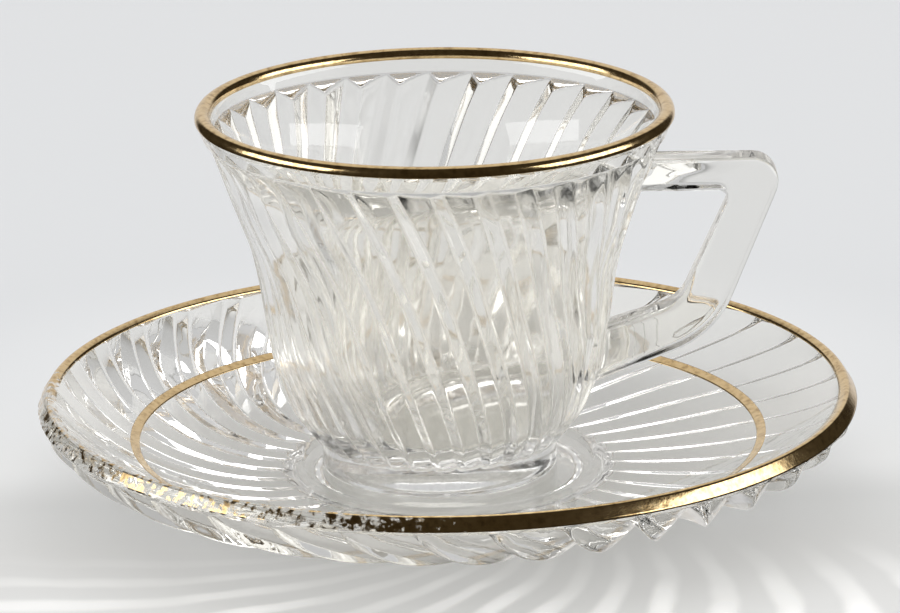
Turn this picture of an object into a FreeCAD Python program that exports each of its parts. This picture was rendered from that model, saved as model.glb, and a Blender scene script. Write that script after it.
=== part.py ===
"""Pressed-glass demitasse cup and saucer with swirled ribs and gilt bands.

Millimetres, +Z up. The origin is on the saucer's axis, at the surface it stands on.
The cup stands in the saucer's well with its handle towards +X. Ribs are moulded on
the outside of the cup and on the underside of the saucer; the other faces are smooth.
"""
import FreeCAD, Part
import math
import os
import Sketcher

doc = FreeCAD.newDocument("DemitasseCupAndSaucer")
sheet = doc.addObject("Spreadsheet::Sheet", "Sizes")

SIZES = {
    # Saucer: overall, rim, dish, well and foot
    "saucer_rim_radius": 57.15,
    "saucer_height": 15.75,
    "saucer_rim_width": 2.55,
    "saucer_rim_crown_inset": 1.5,
    "saucer_rim_roll": 0.68,
    "saucer_rim_lip": 1.85,
    "saucer_rim_depth": 0.5,
    "saucer_wall": 1.3,
    "well_clearance": 4.0,
    "well_level": 4.2,
    "well_bead_width": 0.6,
    "well_bead_rise": 0.25,
    "dish_foot_margin": 3.0,
    "saucer_foot_margin": 1.1,
    "saucer_foot_width": 3.0,
    "saucer_foot_height": 1.2,
    "saucer_base_width": 1.6,
    "saucer_base_level": 2.2,
    # Saucer: ribs and gilt ring
    "saucer_rib_count": 36,
    "saucer_rib_foot_inset": 0.6,
    "saucer_rib_foot_level": 1.4,
    "saucer_rib_inset": 0.35,
    "saucer_rib_drop": 2.25,
    "saucer_rib_start": 4.3,
    "saucer_rib_split": 0.4,
    "saucer_rib_turn": 23.5,
    "saucer_rib_turn_power": 1.57,
    "saucer_ring_radius": 43.85,
    "saucer_ring_width": 1.3,
    # Cup: overall, rim, wall and foot
    "cup_offset": -1.2,
    "cup_height": 51.8,
    "cup_rim_radius": 33.05,
    "cup_rim_width": 2.2,
    "cup_rim_shoulder": 0.65,
    "cup_rim_round": 0.35,
    "cup_gilt_height": 1.4,
    "cup_band_inset": 1.1,
    "cup_band_foot": 1.4,
    "cup_band_wall": 2.4,
    "cup_wall": 1.7,
    "cup_floor": 5.6,
    "cup_floor_radius": 10.0,
    "cup_foot_radius": 16.5,
    "cup_foot_height": 5.5,
    "cup_foot_width": 3.5,
    "cup_foot_recess": 1.0,
    # Cup: ribs
    "cup_rib_count": 32,
    "cup_rib_foot_level": 4.7,
    "cup_rib_foot_flare": 1.1,
    "cup_rib_drop": 3.7,
    "cup_rib_inset": 1.4,
    "cup_rib_start": 8.2,
    "cup_rib_split": 0.33,
    "cup_rib_depth": 1.5,
    "cup_rib_turn": 33.0,
    # Handle: reaches are measured outward from the cup's rim
    "handle_thickness": 5.0,
    "handle_drop": 7.68,
    "handle_arm": 4.65,
    "handle_outer_reach": 15.9,
    "handle_inner_reach": 8.0,
    "handle_elbow_reach": 5.6,
    "handle_elbow_level": 18.6,
    "handle_crook_reach": 0.55,
    "handle_crook_level": 23.3,
    "handle_root_top": 19.2,
    "handle_root_bottom": 11.6,
    "handle_corner_radius": 3.5,
    "handle_elbow_radius": 14.0,
    "handle_crook_radius": 6.0,
    "handle_inner_radius": 1.4,
    "handle_edge_radius": 0.7,
    # Gilding
    "gilt_thickness": 0.12,
}

# Form of the cup's ribs from the foot up: the share of the rise from the foot of the
# ribs to their top, and the share of the way out, at each station of the crest line.
CUP_CREST = [
    (0.0, 0.0), (0.085, 0.193), (0.222, 0.364), (0.406, 0.471),
    (0.589, 0.557), (0.773, 0.743), (0.888, 0.871), (1.0, 1.0),
]

# Form of the saucer's ribs from the foot out: the share of the way out and of the rise
# at each station of the crest line, and how far inward of it the valley lies (mm).
SAUCER_CREST = [
    (0.0, 0.0, 0.0), (0.251, 0.066, 0.2), (0.447, 0.14, 0.4),
    (0.642, 0.277, 0.6), (0.782, 0.405, 1.1), (0.886, 0.57, 1.7),
    (0.952, 0.736, 2.1), (0.989, 0.876, 2.0), (1.0, 1.0, 1.35),
]


def write_sheet():
    """Put every driving size in the spreadsheet, under its own alias."""
    cells = dict(SIZES)
    for number, (rise, reach) in enumerate(CUP_CREST, start=1):
        cells[f"cup_crest_rise_{number}"] = rise
        cells[f"cup_crest_reach_{number}"] = reach
    for number, (reach, rise, inset) in enumerate(SAUCER_CREST, start=1):
        cells[f"saucer_crest_reach_{number}"] = reach
        cells[f"saucer_crest_rise_{number}"] = rise
        cells[f"saucer_valley_inset_{number}"] = inset
    for row, (name, value) in enumerate(cells.items(), start=1):
        sheet.set(f"A{row}", name)
        sheet.set(f"B{row}", str(value))
        sheet.setAlias(f"B{row}", name)
    doc.recompute()


def size(name):
    """A driving size, read back from the spreadsheet."""
    return float(sheet.get(name))


def between(start, end, share):
    """The value that lies a share of the way from start to end."""
    return start + (end - start) * share


def add_shape(name, shape):
    """A document object that holds a shape made with Part's own functions."""
    holder = doc.addObject("Part::Feature", name)
    holder.Shape = shape
    return holder


# ------------------------------------------------------------------ small geometry

def polar(radius, degrees, level):
    """A point at a radius, an angle from +X and a level."""
    angle = math.radians(degrees)
    return FreeCAD.Vector(radius * math.cos(angle), radius * math.sin(angle), level)


def side(radius, level):
    """A point of a turned profile, drawn in the XZ plane."""
    return FreeCAD.Vector(radius, 0, level)


def line(start, end):
    return Part.LineSegment(start, end).toShape()


def arc(start, middle, end):
    return Part.Arc(start, middle, end).toShape()


def spline(points):
    """An edge that runs smoothly through the points."""
    curve = Part.BSplineCurve()
    curve.interpolate(points)
    return curve.toShape()


def turned(edges):
    """The solid of revolution of a closed profile about the Z axis."""
    profile = Part.Face(Part.Wire(edges))
    return profile.revolve(FreeCAD.Vector(0, 0, 0), FreeCAD.Vector(0, 0, 1), 360)


def chain(points):
    """Straight edges from each point to the next."""
    return [line(start, end) for start, end in zip(points, points[1:])]


def ring_polygon(points):
    """A closed wire of straight edges."""
    return Part.makePolygon(points + points[:1])


# ------------------------------------------------------------------------- ribs

def rib_lines(stations, first_angle, count):
    """One spline for each rib, through (radius, level, turn) stations."""
    lines = []
    for number in range(count):
        start = first_angle + 360.0 * number / count
        lines.append([polar(radius, start + turn, level) for radius, level, turn in stations])
    return lines


def flank_faces(crests, valleys):
    """Ruled faces valley to crest and crest to the next valley, all the way round."""
    crest_edges = [spline(points) for points in crests]
    valley_edges = [spline(points) for points in valleys]
    faces = []
    for number, valley_edge in enumerate(valley_edges):
        following = valley_edges[(number + 1) % len(valley_edges)]
        faces.append(Part.makeRuledSurface(valley_edge, crest_edges[number]))
        faces.append(Part.makeRuledSurface(crest_edges[number], following))
    return faces


def zigzag(crests, valleys, station):
    """The points of one station, valley and crest in turn."""
    points = []
    for crest, valley in zip(crests, valleys):
        points.append(valley[station])
        points.append(crest[station])
    return points


def upright_walls(points, level):
    """Upright faces from a closed run of points to the same run at a level."""
    faces = []
    for start, end in zip(points, points[1:] + points[:1]):
        end_above = FreeCAD.Vector(end.x, end.y, level)
        start_above = FreeCAD.Vector(start.x, start.y, level)
        faces.append(Part.Face(ring_polygon([start, end, end_above, start_above])))
    return faces


def closed_solid(faces):
    """The solid inside a closed set of faces."""
    shell = Part.makeCompound(faces)
    shell.sewShape()
    solid = Part.makeSolid(shell.Shells[0])
    if solid.Volume < 0:
        solid.reverse()
    return solid


# ---------------------------------------------------------------------- the cup

def cup_crest(number):
    """Level and radius of one station of the crest line of the cup's ribs."""
    foot_level = size("cup_rib_foot_level")
    top_level = size("cup_height") - size("cup_rib_drop")
    foot_radius = size("cup_foot_radius") + size("cup_rib_foot_flare")
    top_radius = size("cup_rim_radius") - size("cup_rib_inset")
    level = between(foot_level, top_level, size(f"cup_crest_rise_{number}"))
    return level, between(foot_radius, top_radius, size(f"cup_crest_reach_{number}"))


def cup_stations():
    """(level, crest radius, valley radius, turn) of each station of the cup's ribs."""
    line = [cup_crest(number) for number in range(1, len(CUP_CREST) + 1)]
    waist = sum(radius for level, radius in line) / len(line)
    stations = []
    for number, (level, radius) in enumerate(line, start=1):
        depth = size("cup_rib_depth") * radius / waist
        turn = -size("cup_rib_turn") * size(f"cup_crest_rise_{number}")
        stations.append((level, radius, radius - depth, turn))
    return stations


def cup_ribbed_body():
    """The cup's outer body: ribs that swirl from the foot to the smooth band."""
    stations = cup_stations()
    count = int(size("cup_rib_count"))
    start = size("cup_rib_start")
    split = size("cup_rib_split") * 360.0 / count
    crest_line = [(crest, level, turn) for level, crest, valley, turn in stations]
    valley_line = [(valley, level, turn) for level, crest, valley, turn in stations]
    crests = rib_lines(crest_line, start + split, count)
    valleys = rib_lines(valley_line, start, count)
    faces = flank_faces(crests, valleys)
    faces.append(Part.Face(ring_polygon(zigzag(crests, valleys, 0))))
    faces.append(Part.Face(ring_polygon(zigzag(crests, valleys, -1))))
    return closed_solid(faces)


def cup_rim_line(inset):
    """Edges from the gilding's outer foot over the rim to its inner foot, set in a little.

    The outer corner of the rim is a wide soft shoulder, the inner corner a tighter one.
    """
    top = size("cup_height") - inset
    outer = size("cup_rim_radius") - inset
    inner = size("cup_rim_radius") - size("cup_rim_width") + inset
    foot = size("cup_height") - size("cup_gilt_height")
    shoulder = size("cup_rim_shoulder") - inset
    corner = size("cup_rim_round") - inset
    bow = 1 - math.sqrt(0.5)
    over_shoulder = arc(
        side(outer, top - shoulder),
        side(outer - shoulder * bow, top - shoulder * bow),
        side(outer - shoulder, top),
    )
    over_corner = arc(
        side(inner + corner, top),
        side(inner + corner * bow, top - corner * bow),
        side(inner, top - corner),
    )
    return [
        line(side(outer, foot), side(outer, top - shoulder)),
        over_shoulder,
        line(side(outer - shoulder, top), side(inner + corner, top)),
        over_corner,
        line(side(inner, top - corner), side(inner, foot)),
    ]


def cup_rim_band():
    """The smooth band above the ribs, which flares out to the rounded rim."""
    skin = size("gilt_thickness")
    level, crest, valley, turn = cup_stations()[-1]
    root = valley - size("cup_wall") / 2
    band_radius = size("cup_rim_radius") - size("cup_band_inset")
    gilt_foot = size("cup_height") - size("cup_gilt_height")
    under = chain([
        side(size("cup_rim_radius") - size("cup_rim_width") + skin, gilt_foot),
        side(root, gilt_foot),
        side(root, level - size("cup_band_foot")),
        side(band_radius, level),
        side(size("cup_rim_radius") - skin, gilt_foot),
    ])
    return turned(cup_rim_line(skin) + under)


def cup_foot():
    """The smooth foot under the ribs, hollowed a little underneath."""
    radius = size("cup_foot_radius")
    recess_edge = radius - size("cup_foot_width")
    height = size("cup_foot_height")
    recess = size("cup_foot_recess")
    dome = (recess_edge ** 2 + recess ** 2) / (2 * recess)
    halfway = recess_edge / 2
    halfway_level = recess - dome + math.sqrt(dome ** 2 - halfway ** 2)
    underside = arc(side(recess_edge, 0), side(halfway, halfway_level), side(0, recess))
    outline = chain([
        side(0, recess),
        side(0, height),
        side(radius, height),
        side(radius, 0),
        side(recess_edge, 0),
    ])
    return turned(outline + [underside])


def cup_cavity():
    """The space inside the cup, from its floor to above the rim."""
    wall = size("cup_wall")
    above = size("cup_height") + wall
    mouth = size("cup_rim_radius") - size("cup_rim_width") + size("gilt_thickness")
    floor_edge = side(size("cup_floor_radius"), size("cup_floor"))
    gilt_foot = side(mouth, size("cup_height") - size("cup_gilt_height"))
    wall_points = [floor_edge]
    stations = cup_stations()
    for level, crest, valley, turn in stations[1:-1]:
        wall_points.append(side(valley - wall, level))
    band_radius = size("cup_rim_radius") - size("cup_band_inset")
    wall_points.append(side(band_radius - size("cup_band_wall"), stations[-1][0]))
    wall_points.append(gilt_foot)
    outline = chain([
        gilt_foot,
        side(mouth, above),
        side(0, above),
        side(0, size("cup_floor")),
        floor_edge,
    ])
    return turned(outline + [spline(wall_points)])


def cup_gilt():
    """The gilding round the cup's rim: a thin skin outside, over the top and inside."""
    skin = size("gilt_thickness")
    outer = size("cup_rim_radius")
    inner = outer - size("cup_rim_width")
    foot = size("cup_height") - size("cup_gilt_height")
    outer_foot = line(side(outer - skin, foot), side(outer, foot))
    inner_foot = line(side(inner, foot), side(inner + skin, foot))
    under = list(reversed(cup_rim_line(skin)))
    return turned([outer_foot] + cup_rim_line(0) + [inner_foot] + under)


# --------------------------------------------------------------------- the handle

HANDLE_CORNERS = [
    # how far out, level, and the size that rounds the corner
    ("upper_root", "top", None),
    ("outer", "top", "handle_corner_radius"),
    ("elbow", "elbow_level", "handle_elbow_radius"),
    ("lower_root", "root_bottom", None),
    ("lower_root", "root_top", None),
    ("crook", "crook_level", "handle_crook_radius"),
    ("inner", "arm_foot", "handle_inner_radius"),
    ("upper_root", "arm_foot", None),
]


def handle_places():
    """The reaches and levels of the handle's outline, as expressions on the sheet.

    Both arms end inside the cup's wall, at the radius of the rib crest nearest below.
    """
    foot = "(Sizes.cup_foot_radius + Sizes.cup_rib_foot_flare)"
    rise_out = f"(Sizes.cup_rim_radius - Sizes.cup_rib_inset - {foot})"
    places = {
        "upper_root": f"{foot} + {rise_out} * Sizes.cup_crest_reach_6 - Sizes.cup_wall",
        "lower_root": f"{foot} + {rise_out} * Sizes.cup_crest_reach_2 - Sizes.cup_wall",
        "top": "Sizes.cup_height - Sizes.handle_drop",
        "arm_foot": "Sizes.cup_height - Sizes.handle_drop - Sizes.handle_arm",
    }
    for name in ("outer", "inner", "elbow", "crook"):
        places[name] = f"Sizes.cup_rim_radius + Sizes.handle_{name}_reach"
    for name in ("elbow_level", "crook_level", "root_top", "root_bottom"):
        places[name] = f"Sizes.handle_{name}"
    return places


def upright_edges(shape, reach, level):
    """Names of the edges that run across the handle at one corner of its outline."""
    names = []
    for number, edge in enumerate(shape.Edges, start=1):
        middle = edge.CenterOfMass
        if math.hypot(middle.x - reach, middle.z - level) < 0.01:
            names.append(f"Edge{number}")
    return names


def make_handle():
    """The square-shouldered handle: a padded outline with rounded corners and edges."""
    body = doc.addObject("PartDesign::Body", "Handle")
    plane = [item for item in body.Origin.OriginFeatures if item.Role == "XZ_Plane"][0]
    sketch = body.newObject("Sketcher::SketchObject", "HandleOutline")
    sketch.AttachmentSupport = [(plane, "")]
    sketch.MapMode = "FlatFace"
    places = handle_places()
    values = {name: sheet.evalExpression(place) for name, place in places.items()}
    corners = [(values[reach], values[level]) for reach, level, radius in HANDLE_CORNERS]
    for number, (reach, level) in enumerate(corners):
        following = corners[(number + 1) % len(corners)]
        start = FreeCAD.Vector(reach, level, 0)
        end = FreeCAD.Vector(following[0], following[1], 0)
        sketch.addGeometry(Part.LineSegment(start, end))
    for number, (reach, level, radius) in enumerate(HANDLE_CORNERS):
        following = (number + 1) % len(HANDLE_CORNERS)
        sketch.addConstraint(Sketcher.Constraint("Coincident", number, 2, following, 1))
        across = sketch.addConstraint(Sketcher.Constraint("DistanceX", -1, 1, number, 1, corners[number][0]))
        sketch.setExpression(f"Constraints[{across}]", places[reach])
        up = sketch.addConstraint(Sketcher.Constraint("DistanceY", -1, 1, number, 1, corners[number][1]))
        sketch.setExpression(f"Constraints[{up}]", places[level])
    pad = body.newObject("PartDesign::Pad", "HandlePad")
    pad.Profile = sketch
    pad.SideType = "Symmetric"
    pad.setExpression("Length", "Sizes.handle_thickness")
    doc.recompute()
    last = pad
    for number, (reach, level, radius) in enumerate(HANDLE_CORNERS):
        if radius is None:
            continue
        fillet = body.newObject("PartDesign::Fillet", f"HandleCorner{number}")
        names = upright_edges(last.Shape, *corners[number])
        fillet.Base = (last, names)
        fillet.setExpression("Radius", f"Sizes.{radius}")
        doc.recompute()
        last = fillet
    rounded = body.newObject("PartDesign::Fillet", "HandleEdges")
    root = max(values["upper_root"], values["lower_root"])
    names = []
    for number, edge in enumerate(last.Shape.Edges, start=1):
        middle = edge.CenterOfMass
        on_a_side = abs(abs(middle.y) - size("handle_thickness") / 2) < 0.001
        at_the_root = abs(edge.BoundBox.XLength) < 0.001 and middle.x < root + 0.001
        if on_a_side and not at_the_root:
            names.append(f"Edge{number}")
    rounded.Base = (last, names)
    rounded.setExpression("Radius", "Sizes.handle_edge_radius")
    body.Tip = rounded
    doc.recompute()
    return body


def join(name, *pieces):
    """One document object that fuses several."""
    fuse = doc.addObject("Part::MultiFuse", name)
    fuse.Shapes = list(pieces)
    return fuse


def make_cup():
    """Cup glass and its gilding, drawn about the cup's own axis and then set in place."""
    outside = join(
        "CupOutside",
        add_shape("CupRibs", cup_ribbed_body()),
        add_shape("CupBand", cup_rim_band()),
        add_shape("CupFoot", cup_foot()),
        make_handle(),
    )
    glass = doc.addObject("Part::Cut", "CupGlass")
    glass.Base = outside
    glass.Tool = add_shape("CupCavity", cup_cavity())
    gilt = add_shape("CupGilt", cup_gilt())
    for piece, label in ((glass, "cup_glass"), (gilt, "cup_gilt_rim")):
        piece.Label = label
        piece.setExpression("Placement.Base.x", "Sizes.cup_offset")
        piece.setExpression("Placement.Base.z", "Sizes.well_level")
    return [glass, gilt]


# --------------------------------------------------------------------- the saucer

def dish_edge():
    """Radius and level of the outer edge of the dish, where the rounded rim begins."""
    radius = size("saucer_rim_radius") - size("saucer_rim_width")
    return radius, size("saucer_height") - size("saucer_rim_roll")


def well_radius():
    """Radius of the well, which takes the cup's foot with room round it."""
    return size("cup_foot_radius") + size("well_clearance")


def foot_radius():
    """Outer radius of the foot ring, a little outside the well."""
    return well_radius() + size("saucer_foot_margin")


def dish_curve():
    """Radius and level of the lowest circle of the dish, and the radius of its arc."""
    lowest = well_radius() + size("dish_foot_margin")
    foot = size("well_level") + size("well_bead_rise")
    radius, level = dish_edge()
    reach = radius - lowest
    rise = level - foot
    return lowest, foot, (reach ** 2 + rise ** 2) / (2 * rise)


def dish_level(radius, depth=0.0):
    """Level of the dish's upper face, or of a face that lies a depth under it."""
    lowest, foot, curve = dish_curve()
    reach = radius - lowest
    return foot + curve - math.sqrt((curve + depth) ** 2 - reach ** 2)


def dish_arc(start, end, depth=0.0):
    """The arc of the dish between two radii."""
    middle = (start + end) / 2
    points = [side(radius, dish_level(radius, depth)) for radius in (start, middle, end)]
    return arc(*points)


def swirl(radius):
    """How far a saucer rib has turned at a radius, in degrees."""
    inner = foot_radius() - size("saucer_rib_foot_inset")
    share = (radius - inner) / (dish_edge()[0] - inner)
    bend = math.copysign(abs(share) ** size("saucer_rib_turn_power"), share)
    return size("saucer_rib_turn") * (1 - bend)


def saucer_stations():
    """Crest and valley (radius, level, turn) of each station of the saucer's ribs."""
    start_radius = foot_radius() - size("saucer_rib_foot_inset")
    end_radius = size("saucer_rim_radius") - size("saucer_rib_inset")
    foot_level = size("saucer_rib_foot_level")
    end_level = size("saucer_height") - size("saucer_rib_drop")
    crests = []
    valleys = []
    for number in range(1, len(SAUCER_CREST) + 1):
        radius = between(start_radius, end_radius, size(f"saucer_crest_reach_{number}"))
        level = between(foot_level, end_level, size(f"saucer_crest_rise_{number}"))
        valley = radius - size(f"saucer_valley_inset_{number}")
        crests.append((radius, level, swirl(radius)))
        valleys.append((valley, dish_level(valley, size("saucer_wall")), swirl(valley)))
    return crests, valleys


def rib_block_top():
    """Level of the flat top of the ribbed block, just under the rounded rim."""
    return size("saucer_height") - size("saucer_rim_lip")


def saucer_ribbed_body():
    """The block under the rim whose lower face is the swirling ribs."""
    crest_stations, valley_stations = saucer_stations()
    count = int(size("saucer_rib_count"))
    start = size("saucer_rib_start")
    split = size("saucer_rib_split") * 360.0 / count
    crests = rib_lines(crest_stations, start + split, count)
    valleys = rib_lines(valley_stations, start, count)
    top = rib_block_top()
    inner = zigzag(crests, valleys, 0)
    outer = zigzag(crests, valleys, -1)
    faces = flank_faces(crests, valleys)
    faces += upright_walls(inner, top)
    faces += upright_walls(outer, top)
    outer_top = Part.Face(ring_polygon([FreeCAD.Vector(point.x, point.y, top) for point in outer]))
    inner_top = Part.Face(ring_polygon([FreeCAD.Vector(point.x, point.y, top) for point in inner]))
    faces += outer_top.cut(inner_top).Faces
    return closed_solid(faces)


def saucer_rim_arc(grown=0.0):
    """Centre of the rim's rounded top, and its inner, crown and outer points."""
    skin = size("gilt_thickness")
    edge = size("saucer_rim_radius")
    inner = side(*dish_edge())
    crown = side(edge - size("saucer_rim_crown_inset"), size("saucer_height") - skin)
    outer = side(edge - skin, rib_block_top())
    centre = arc(inner, crown, outer).Curve.Center
    points = []
    for point in (inner, crown, outer):
        outward = point - centre
        points.append(centre + outward * ((outward.Length + grown) / outward.Length))
    return points


def saucer_rim():
    """The rounded bead of glass round the saucer's edge."""
    inner, crown, outer = saucer_rim_arc()
    wall = size("saucer_wall")
    under = outer - side(0, size("saucer_rim_depth"))
    seat = side(inner.x, dish_level(inner.x, wall * 0.8))
    heart = side(inner.x - wall, dish_level(inner.x - wall, wall / 2))
    above_heart = side(inner.x - wall, inner.z)
    outline = chain([outer, under, seat, heart, above_heart, inner])
    return turned([arc(inner, crown, outer)] + outline)


def saucer_gilt():
    """The gilding on the saucer's rim."""
    inner, crown, outer = saucer_rim_arc()
    inner_skin, crown_skin, outer_skin = saucer_rim_arc(size("gilt_thickness"))
    return turned([
        arc(inner, crown, outer),
        line(outer, outer_skin),
        arc(outer_skin, crown_skin, inner_skin),
        line(inner_skin, inner),
    ])


def saucer_base():
    """The middle of the saucer: its well and the foot ring it stands on."""
    foot = foot_radius()
    foot_inner = foot - size("saucer_foot_width")
    base = foot + size("saucer_base_width")
    base_level = size("saucer_base_level")
    recess = size("saucer_foot_height")
    top = rib_block_top()
    return turned(chain([
        side(0, recess),
        side(foot_inner - recess / 2, recess),
        side(foot_inner, 0),
        side(foot, 0),
        side(base, base_level),
        side(base, top),
        side(0, top),
        side(0, recess),
    ]))


def dish_hollow():
    """Everything above the saucer's upper face, from the well to the rim."""
    well = well_radius()
    bead = well - size("well_bead_width")
    inner = side(*dish_edge())
    above = size("saucer_height") + size("well_level")
    outline = chain([
        inner,
        side(inner.x, above),
        side(0, above),
        side(0, size("well_level")),
        side(bead, size("well_level")),
        side(well, dish_level(well)),
    ])
    return turned(outline + [dish_arc(well, inner.x)])


def saucer_ring():
    """The flat gilt line part of the way out over the dish."""
    middle = size("saucer_ring_radius")
    half = size("saucer_ring_width") / 2
    skin = size("gilt_thickness")
    lower = [side(radius, dish_level(radius)) for radius in (middle - half, middle + half)]
    upper = [side(radius, dish_level(radius, -skin)) for radius in (middle - half, middle + half)]
    return turned([
        dish_arc(middle - half, middle + half),
        line(lower[1], upper[1]),
        dish_arc(middle - half, middle + half, -skin),
        line(upper[0], lower[0]),
    ])


def make_saucer():
    """Saucer glass, gilt rim and gilt ring."""
    blank = join(
        "SaucerBlank",
        add_shape("SaucerRibs", saucer_ribbed_body()),
        add_shape("SaucerBase", saucer_base()),
        add_shape("SaucerRim", saucer_rim()),
    )
    glass = doc.addObject("Part::Cut", "SaucerGlass")
    glass.Base = blank
    glass.Tool = add_shape("DishHollow", dish_hollow())
    gilt = add_shape("SaucerGilt", saucer_gilt())
    ring = add_shape("SaucerRing", saucer_ring())
    glass.Label = "saucer_glass"
    gilt.Label = "saucer_gilt_rim"
    ring.Label = "saucer_gilt_ring"
    return [glass, gilt, ring]


# -------------------------------------------------------------------------- write

def check(pieces):
    """Stop if any object failed, or a piece is not one sound solid."""
    for item in doc.Objects:
        if "Invalid" in item.State or "Error" in item.State:
            raise RuntimeError(f"{item.Name} failed: {item.State}")
    for piece in pieces:
        shape = piece.Shape
        if shape.isNull() or not shape.isValid() or len(shape.Solids) != 1:
            raise RuntimeError(f"{piece.Label} is not one valid solid")
        print(piece.Label, "volume", round(shape.Volume, 1), "faces", len(shape.Faces))


write_sheet()
sub_parts = make_cup() + make_saucer()
doc.recompute()
check(sub_parts)
os.makedirs("parts", exist_ok=True)
for sub_part in sub_parts:
    sub_part.Shape.exportStep(f"parts/{sub_part.Label}.step")
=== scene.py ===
"""Looks of the pressed-glass demitasse cup and saucer: clear glass with swirled ribs
and worn gilding, on a pale floor under soft studio light.

Form lines are in millimetres, like those of the model, and turn into metres when a
mesh is made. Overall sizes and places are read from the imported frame.
"""
import math

import bpy
import numpy as np
from mathutils import Matrix, Vector


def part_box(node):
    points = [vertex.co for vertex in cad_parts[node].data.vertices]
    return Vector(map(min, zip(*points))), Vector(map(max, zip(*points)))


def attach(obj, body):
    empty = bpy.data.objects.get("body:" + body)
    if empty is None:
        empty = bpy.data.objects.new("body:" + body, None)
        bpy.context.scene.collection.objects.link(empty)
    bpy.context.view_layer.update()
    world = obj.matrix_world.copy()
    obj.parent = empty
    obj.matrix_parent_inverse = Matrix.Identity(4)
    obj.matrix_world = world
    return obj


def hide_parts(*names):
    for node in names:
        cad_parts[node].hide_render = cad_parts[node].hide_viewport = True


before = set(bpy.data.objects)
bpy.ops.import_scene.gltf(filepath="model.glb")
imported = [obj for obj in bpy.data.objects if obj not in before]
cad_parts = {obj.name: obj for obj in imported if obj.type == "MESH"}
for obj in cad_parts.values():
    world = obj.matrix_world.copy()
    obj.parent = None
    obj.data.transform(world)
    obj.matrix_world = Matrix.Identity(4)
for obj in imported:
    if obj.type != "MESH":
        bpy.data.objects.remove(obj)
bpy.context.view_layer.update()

MM = 0.001
TAU = 2.0 * math.pi


def box_mm(node):
    """The lowest and highest corners of a CAD node, in millimetres."""
    low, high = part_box(node)
    return low / MM, high / MM


# ------------------------------------------------------------ sizes from the frame

rim_low, rim_high = box_mm("cup_gilt_rim")
cup_low = box_mm("cup_glass")[0]
edge_low, edge_high = box_mm("saucer_gilt_rim")
ring_low, ring_high = box_mm("saucer_gilt_ring")

CUP_X = (rim_low.x + rim_high.x) / 2
CUP_BASE = cup_low.z
CUP_HEIGHT = rim_high.z - CUP_BASE
CUP_RIM_RADIUS = (rim_high.x - rim_low.x) / 2
CUP_GILT_HEIGHT = rim_high.z - rim_low.z
SAUCER_RADIUS = (edge_high.x - edge_low.x) / 2
SAUCER_HEIGHT = edge_high.z
RING_OUTER = (ring_high.x - ring_low.x) / 2

# Lift that keeps two surfaces that rest on each other from lying in one plane.
REST_GAP = 0.03

# Gilding: how far it goes into the glass, so that no air shows between them.
GILT_SINK = 0.03
GILT_SKIN = 0.12

# Cup, heights above its own base
CUP_RIM_WIDTH = 2.2
CUP_FOOT_RADIUS = 16.5
CUP_FOOT_WIDTH = 3.5
CUP_FOOT_RECESS = 1.0
CUP_RIB_FOOT = 4.7
CUP_RIB_TOP = CUP_HEIGHT - 3.7
CUP_RIB_FOOT_RADIUS = CUP_FOOT_RADIUS + 1.1
CUP_RIB_TOP_RADIUS = CUP_RIM_RADIUS - 1.4
CUP_RIB_COUNT = 32
CUP_RIB_START = 8.2
CUP_RIB_SPLIT = 0.33
CUP_RIB_DEPTH = 1.5
CUP_RIB_TURN = 33.0
CUP_BAND_RADIUS = CUP_RIM_RADIUS - 1.1
CUP_BAND_FOOT = CUP_RIB_TOP - 1.4
CUP_BAND_WALL = 2.4
CUP_WALL = 1.7
CUP_FLOOR = 5.6
CUP_FLOOR_RADIUS = 10.0
CUP_CREST_RISE = (0.0, 0.085, 0.222, 0.406, 0.589, 0.773, 0.888, 1.0)
CUP_CREST_REACH = (0.0, 0.193, 0.364, 0.471, 0.557, 0.743, 0.871, 1.0)

# Saucer
RIM_WIDTH = 2.55
RIM_CROWN_INSET = 1.5
RIM_CORNER = 0.5
RIM_ROLL = 0.68
RIM_LIP = 1.85
RIM_DEPTH = 0.5
SAUCER_WALL = 1.3
WELL_RADIUS = 20.5
WELL_LEVEL = 4.2
WELL_BEAD_WIDTH = 0.6
WELL_BEAD_RISE = 0.25
DISH_LOWEST = WELL_RADIUS + 3.0
FOOT_RADIUS = 21.6
FOOT_WIDTH = 3.0
FOOT_HEIGHT = 1.2
BASE_WIDTH = 1.6
BASE_LEVEL = 2.2
SAUCER_RIB_COUNT = 36
SAUCER_RIB_START = 4.3
SAUCER_RIB_SPLIT = 0.4
SAUCER_RIB_TURN = 23.5
SAUCER_RIB_TURN_POWER = 1.57
SAUCER_RIB_FOOT_RADIUS = 21.0
SAUCER_RIB_FOOT_LEVEL = 1.4
SAUCER_RIB_END_RADIUS = SAUCER_RADIUS - 0.35
SAUCER_RIB_END_LEVEL = SAUCER_HEIGHT - 2.25
SAUCER_CREST_REACH = (0.0, 0.251, 0.447, 0.642, 0.782, 0.886, 0.952, 0.989, 1.0)
SAUCER_CREST_RISE = (0.0, 0.066, 0.14, 0.277, 0.405, 0.57, 0.736, 0.876, 1.0)
SAUCER_VALLEY_INSET = (0.0, 0.2, 0.4, 0.6, 1.1, 1.7, 2.1, 2.0, 1.35)
RING_WIDTH = 1.3

# Handle: heights above the cup's base, reaches past the cup's rim, roots inside its wall
HANDLE_THICKNESS = 5.0
HANDLE_EDGE = 0.7
HANDLE_REACH = 15.9
HANDLE_DROP = 7.68
HANDLE_ARM = 4.65
HANDLE_INNER_REACH = 8.0
HANDLE_ELBOW = (5.6, 18.6)
HANDLE_CROOK = (0.55, 23.3)
HANDLE_TOP_ROOT = 26.2
HANDLE_LOW_ROOT = 18.9
HANDLE_LOW_ROOT_LEVELS = (10.95, 18.55)

# Shares of a tooth's length over which its corners are rounded
CUP_TOOTH_SOFT = 0.035
SAUCER_TOOTH_SOFT = 0.03


# ------------------------------------------------------------------ curves and grids

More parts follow.
